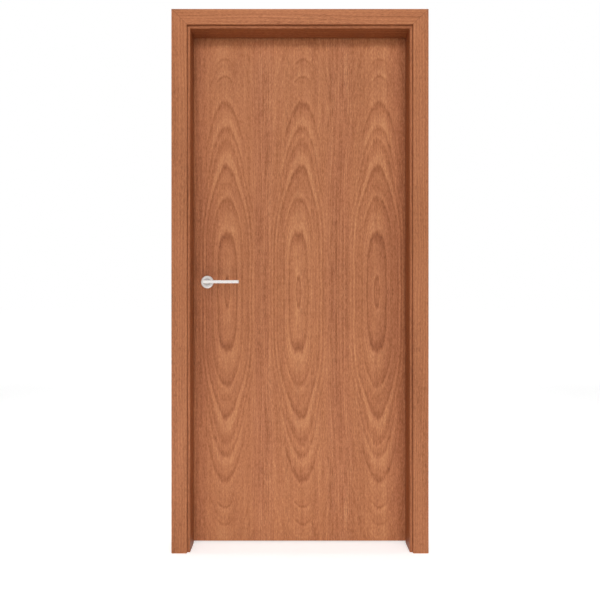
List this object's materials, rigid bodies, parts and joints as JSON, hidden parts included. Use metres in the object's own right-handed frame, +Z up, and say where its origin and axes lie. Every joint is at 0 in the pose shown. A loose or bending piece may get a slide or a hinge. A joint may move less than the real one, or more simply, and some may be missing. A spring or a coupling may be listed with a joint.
{
  "type": "flush hollow core door in its frame",
  "caption": "Flush veneered hollow core door hung in a lining with full-depth stops, with flat mitred casings on both sides and a slim lever handle on round roses; the leaf swings and the lever turns.",
  "frame": {"origin": "on the hinge jamb's outer wall face, at floor level, halfway through the wall's thickness", "axes": "+X to the hinge side, +Y away from the side that shows in the picture, +Z up"},
  "size_m": [1.016, 0.189, 2.1142],
  "materials": {
    "door_veneer": "crown-cut reddish veneer, satin lacquer",
    "lining_veneer": "straight-grained reddish veneer, satin lacquer",
    "casing_veneer": "straight-grained reddish veneer, satin lacquer",
    "lipping": "straight-grained hardwood edge, satin lacquer",
    "softwood": "planed softwood, bare",
    "handle_steel": "satin brushed steel",
    "hinge_steel": "satin steel"
  },
  "bodies": {
    "door_frame": {"hinge_jamb": "lining_veneer", "latch_jamb": "lining_veneer", "head_jamb": "lining_veneer", "hinge_side_stop": "lining_veneer", "latch_side_stop": "lining_veneer", "head_stop": "lining_veneer", "strike_plate": "hinge_steel", "front_casing_hinge_side": "casing_veneer", "front_casing_latch_side": "casing_veneer", "front_casing_head": "casing_veneer", "back_casing_hinge_side": "casing_veneer", "back_casing_latch_side": "casing_veneer", "back_casing_head": "casing_veneer", "top_hinge_frame_plate": "hinge_steel", "top_hinge_pin": "hinge_steel", "middle_hinge_frame_plate": "hinge_steel", "middle_hinge_pin": "hinge_steel", "bottom_hinge_frame_plate": "hinge_steel", "bottom_hinge_pin": "hinge_steel"},
    "door_leaf": {"front_skin": "door_veneer", "back_skin": "door_veneer", "hinge_stile": "lipping", "latch_stile": "lipping", "top_rail": "softwood", "bottom_rail": "softwood", "lock_block": "softwood", "core_slats": "softwood", "latch_case": "hinge_steel", "latch_bolt": "hinge_steel", "front_rose": "handle_steel", "back_rose": "handle_steel", "top_hinge_leaf_plate": "hinge_steel", "middle_hinge_leaf_plate": "hinge_steel", "bottom_hinge_leaf_plate": "hinge_steel"},
    "lever_handle": {"front_lever": "handle_steel", "back_lever": "handle_steel", "spindle": "hinge_steel"}
  },
  "joints": [
    {"name": "door_swing", "type": "hinge", "parent": "door_frame", "child": "door_leaf", "pos_m": [-0.0216, 0.0655, 1], "axis": [0, 0, -1], "range_deg": [0, 170]},
    {"name": "lever_turn", "type": "hinge", "parent": "door_leaf", "child": "lever_handle", "pos_m": [-0.8278, 0.0405, 1.05], "axis": [0, 1, 0], "range_deg": [0, 45], "stiffness_Nm_per_rad": 2, "springref_deg": -30}
  ]
}
